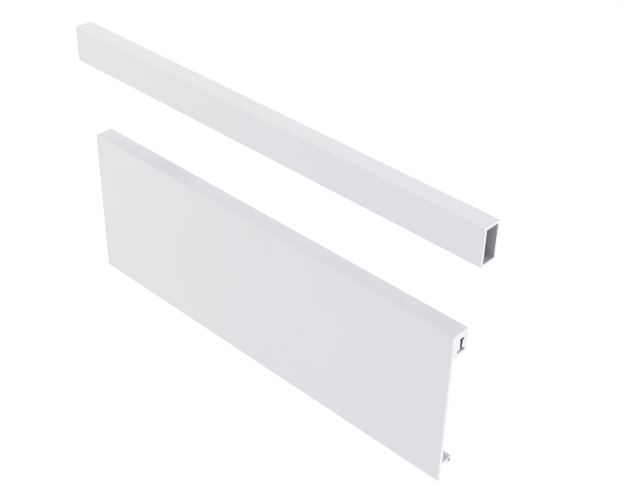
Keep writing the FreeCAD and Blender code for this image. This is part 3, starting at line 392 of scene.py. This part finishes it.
def soften_edges():
    """Rounds the edges of the moulded, pressed and cut pieces, each by its own width in mm."""
    widths = {
        "panel_plug_left": 0.25, "panel_plug_right": 0.25, "rail_cap_left": 0.35,
        "rail_wall_clip_left": 0.25, "rail_wall_clip_right": 0.25,
        "rail_hanger_left": 0.25, "rail_hanger_right": 0.25, "port_clip_left": 0.2, "port_clip_right": 0.2,
        "insulation_board": 0.4, "thermal_cutout": 0.4, "terminal_block": 0.4, "hanging_rod": 0.4,
        "end_insulators": 0.3, "element_bushes": 0.3, "cable_bush": 0.3, "earth_nut": 0.3,
    }
    for node, width in widths.items():
        stand_for(softened(node, width), node)


def islands(node):
    """The lowest and highest corner of every separate solid of a CAD node, in order along X and then Z."""
    mesh = welded(node)
    left = set(mesh.verts)
    boxes = []
    while left:
        reached = [left.pop()]
        for vertex in reached:
            for edge in vertex.link_edges:
                other = edge.other_vert(vertex)
                if other in left:
                    left.remove(other)
                    reached.append(other)
        low = Vector([min(vertex.co[axis] for vertex in reached) for axis in range(3)])
        high = Vector([max(vertex.co[axis] for vertex in reached) for axis in range(3)])
        boxes.append((low, high))
    mesh.free()
    return sorted(boxes, key=lambda corners: (round(corners[0].x, 4), round(corners[0].z, 4)))


def turned(profile):
    """A closed solid of revolution about Z, from (radius, height) points that start and end on the axis."""
    mesh = bmesh.new()
    turns = [2 * math.pi * step / SIDES for step in range(SIDES)]
    rings = []
    for radius, height in profile:
        if radius == 0:
            rings.append([mesh.verts.new((0, 0, height))] * SIDES)
        else:
            around = [(radius * math.cos(turn), radius * math.sin(turn), height) for turn in turns]
            rings.append([mesh.verts.new(corner) for corner in around])
    for lower, upper in zip(rings, rings[1:]):
        for step in range(SIDES):
            after = (step + 1) % SIDES
            corners = [lower[step], lower[after], upper[after], upper[step]]
            mesh.faces.new(list(dict.fromkeys(corners)))
    bmesh.ops.recalc_face_normals(mesh, faces=mesh.faces)
    return mesh


def dome(radius, low, high, steps=6):
    """Points of a low dome that ends on the axis: from (radius, low) up to (0, high)."""
    turns = [math.pi / 2 * step / steps for step in range(steps)]
    points = [(radius * math.cos(turn), low + (high - low) * math.sin(turn)) for turn in turns]
    return points + [(0, high)]


def blade(length, width, low, high):
    """A bar that narrows downwards, for one arm of a cross recess or for a slot."""
    narrowing = 0.7
    mesh = bmesh.new()
    rings = []
    for height, share in ((low, narrowing), (high, 1)):
        x, y = length / 2 * share, width / 2 * share
        outline = ((-x, -y), (x, -y), (x, y), (-x, y))
        rings.append([mesh.verts.new((*corner, height)) for corner in outline])
    lower, upper = rings
    mesh.faces.new(list(reversed(lower)))
    mesh.faces.new(upper)
    for step in range(4):
        after = (step + 1) % 4
        mesh.faces.new([lower[step], lower[after], upper[after], upper[step]])
    return as_object("blade", mesh)


def cut_away(piece, tools):
    """Takes the tools' solids out of a piece."""
    for tool in tools:
        cut = piece.modifiers.new("cut", "BOOLEAN")
        cut.operation = "DIFFERENCE"
        cut.solver = "EXACT"
        cut.object = tool
    bpy.context.view_layer.update()
    shaped = bpy.data.meshes.new_from_object(piece.evaluated_get(bpy.context.evaluated_depsgraph_get()))
    piece.modifiers.clear()
    old, piece.data = piece.data, shaped
    bpy.data.meshes.remove(old)
    for tool in tools:
        bpy.data.objects.remove(tool)
    return piece


# In the outlines below, a factor without a name is a share of a radius or a height.


def screw(head, length, shank, tall, reach, arms):
    """A screw up along Z from 0. Its head is tall high, and each arm of the recess is reach long."""
    seat = length - tall
    profile = [
        (0, 0),
        (shank * 0.8, 0),
        (shank, shank * 0.2),
        (shank, seat),
        (head * 0.95, seat),
        (head, seat + tall * 0.12),
        (head, seat + tall * 0.45),
        *dome(head * 0.94, seat + tall * 0.55, length),
    ]
    recesses = [blade(reach, head * 0.28, length - tall * 0.6, length + tall) for _ in range(arms)]
    for step, recess in enumerate(recesses):
        recess.rotation_euler.z = step * math.pi / 2
    return cut_away(as_object("screw", turned(profile)), recesses)


def pan_head(head, length, shank, tall):
    """A pan-head screw with a cross recess."""
    return screw(head, length, shank, tall, reach=head * 1.2, arms=2)


def slotted_screw(head, length):
    """A terminal screw: nearly all head, with a slot right across it."""
    return screw(head, length, shank=head * 0.9, tall=length * 0.9, reach=head * 3, arms=1)


def blind_rivet(head, length, shank, tail, tail_tall, tall):
    """A set blind rivet up along Z from 0: folded tail, shank, and a low head with the mandrel's stub."""
    seat = length - tall
    hole = shank * 0.55
    crown = dome(head * 0.97, seat + tall * 0.3, length)
    profile = [
        (0, 0),
        (tail * 0.55, 0),
        (tail * 0.93, tail_tall * 0.25),
        (tail, tail_tall * 0.6),
        (shank, tail_tall),
        (shank, seat),
        (head * 0.97, seat),
        (head, seat + tall * 0.2),
        *[(radius, height) for radius, height in crown if radius > hole],
        (hole, length - tall * 0.15),
        (hole * 0.9, length - tall * 0.7),
        (0, length - tall * 0.6),
    ]
    return as_object("rivet", turned(profile))


def threaded_stud(radius, length, pitch):
    """A threaded stud up along Z from 0, its thread drawn as rings, with chamfered ends."""
    root = radius * 0.84
    turns = int(length / pitch) - 1
    profile = [(0, 0), (root, 0)]
    for turn in range(turns):
        profile += [(root, (turn + 0.6) * pitch), (radius, (turn + 1.1) * pitch)]
    profile += [(root, (turns + 0.6) * pitch), (root, length), (0, length)]
    return as_object("stud", turned(profile))


def push_button(cap, length, stem, tall):
    """A push button up along Z, from the slightly hollow face of its cap at 0 to the end of its stem."""
    turns = (0.3, 0.7, 1.1, 1.5)  # of the rounded rim, in radians
    profile = [
        (0, cap * 0.06),
        (cap * 0.35, cap * 0.04),
        (cap * 0.62, 0),
        *[(cap * (0.7 + 0.3 * math.sin(turn)), cap * 0.3 * (1 - math.cos(turn))) for turn in turns],
        (cap, tall * 0.9),
        (cap * 0.97, tall),
        (stem, tall),
        (stem, length - stem * 0.15),
        (stem * 0.85, length),
        (0, length),
    ]
    return as_object("button", turned(profile))


def remade(node, facing, make, **sizes):
    """Every solid of a CAD node made anew.

    Facing turns Z along the solids. Make takes a solid's largest radius, its length and the sizes, in metres.
    Here the sizes are in mm.
    """
    sizes = {name: size * MM for name, size in sizes.items()}
    along = facing.to_3x3() @ Vector((0, 0, 1))
    joined = bmesh.new()
    for low, high in islands(node):
        across, middle = high - low, (low + high) / 2
        length = abs(across.dot(along))
        piece = make(across.x / 2, length, **sizes)
        start = Matrix.Translation(middle - along * length / 2)
        piece.data.transform(start @ facing @ Matrix.Rotation(chance.uniform(0, math.pi), 4, "Z"))
        joined.from_mesh(piece.data)
        bpy.data.objects.remove(piece)
    shown = as_object(f"{node}_shown", joined)
    shown.data.polygons.foreach_set("use_smooth", [True] * len(shown.data.polygons))
    shown.data.set_sharp_from_angle(angle=CREASE)
    return shown


def make_fasteners():
    """Screws with recesses, rivets, the stud and the button, in the places of their plain CAD solids."""
    rivet = {"shank": 1.6, "tail": 2.4, "tail_tall": 1.5, "tall": 0.9}
    makers = {
        "chassis_screws": (TO_ROOM, pan_head, {"shank": 1.5, "tall": 1.6}),
        "cover_screws": (TO_ROOM, pan_head, {"shank": 1.3, "tall": 1.4}),
        "block_screws": (TO_ROOM, slotted_screw, {}),
        "hook_rivets": (TO_WALL, blind_rivet, rivet),
        "rail_rivets": (TO_WALL, blind_rivet, rivet),
        "earth_stud": (TO_ROOM, threaded_stud, {"pitch": 0.7}),
        "reset_button": (UPRIGHT, push_button, {"stem": 2.5, "tall": 2.2}),
    }
    for node, (facing, make, sizes) in makers.items():
        stand_for(remade(node, facing, make, **sizes), node)


# --------------------------------------------------------------------------------------------- studio

FLOOR_SIDE = 60
FLOOR_DROP = 2.2
FLOOR_GLOW = 0.23
CAMERA_AT = (0.5677, -0.5666, 0.590)
CAMERA_AZIMUTH = 43.11
CAMERA_ELEVATION = 34.63
CAMERA_ROLL = 1.33
CAMERA_LENS = 68.7
CAMERA_SENSOR = 36
CAMERA_REACH = 200


def make_floor():
    """A wide pale floor, far below the wall-hung heater, light enough to fade out."""
    bpy.ops.mesh.primitive_plane_add(size=FLOOR_SIDE, location=(0, 0, cad_box[0].z - FLOOR_DROP))
    floor = bpy.context.object
    floor.name = "floor"
    pale = Shader("pale_floor", (0.8, 0.8, 0.8), 1.0, specular=0.0)
    pale.main.inputs["Emission Color"].default_value = (1, 1, 1, 1)
    pale.main.inputs["Emission Strength"].default_value = FLOOR_GLOW
    floor.data.materials.append(pale.material)


def area_light(name, at, aim, size, power, color=(1, 1, 1)):
    """A square lamp at one place, aimed at another: its side is size metres and its power is in watts."""
    lamp = bpy.data.lights.new(name, "AREA")
    lamp.shape = "SQUARE"
    lamp.size = size
    lamp.energy = power
    lamp.color = color
    holder = bpy.data.objects.new(name, lamp)
    holder.location = at
    holder.rotation_euler = (Vector(aim) - Vector(at)).to_track_quat("-Z", "Y").to_euler()
    bpy.context.scene.collection.objects.link(holder)


def make_light():
    """Soft even light: a white sky, and weak lamps above, at the right and at the left in front."""
    world = bpy.data.worlds.new("studio")
    bpy.context.scene.world = world
    world.use_nodes = True
    sky = world.node_tree.nodes["Background"]
    sky.inputs["Color"].default_value = (1, 1, 1, 1)
    sky.inputs["Strength"].default_value = 1.0
    area_light("overhead", (-0.6, 0.1, 1.3), (-0.1, 0, 0.1), 0.5, 2.8, (1.0, 0.98, 0.78))
    area_light("right_side", (3.0, 0.2, 0.25), (0, 0, 0), 2.0, 30)
    area_light("left_front", (-0.85, -0.65, 0.12), (-0.15, 0, 0.03), 0.4, 1.3, (1.0, 0.98, 0.62))
    view = bpy.context.scene.view_settings
    view.view_transform = "Standard"
    view.look = "None"


def make_camera():
    """The camera looks down on the heater from the right, rolled slightly."""
    turn = (
        Matrix.Rotation(math.radians(CAMERA_AZIMUTH), 4, "Z")
        @ Matrix.Rotation(math.radians(90 - CAMERA_ELEVATION), 4, "X")
        @ Matrix.Rotation(math.radians(CAMERA_ROLL), 4, "Z")
    )
    lens = bpy.data.cameras.new("camera")
    lens.lens = CAMERA_LENS
    lens.sensor_width = CAMERA_SENSOR
    lens.clip_end = CAMERA_REACH
    camera = bpy.data.objects.new("camera", lens)
    camera.matrix_world = Matrix.Translation(CAMERA_AT) @ turn
    bpy.context.scene.collection.objects.link(camera)
    bpy.context.scene.camera = camera


dress_nodes()
soften_edges()
make_fasteners()
make_floor()
make_light()
make_camera()
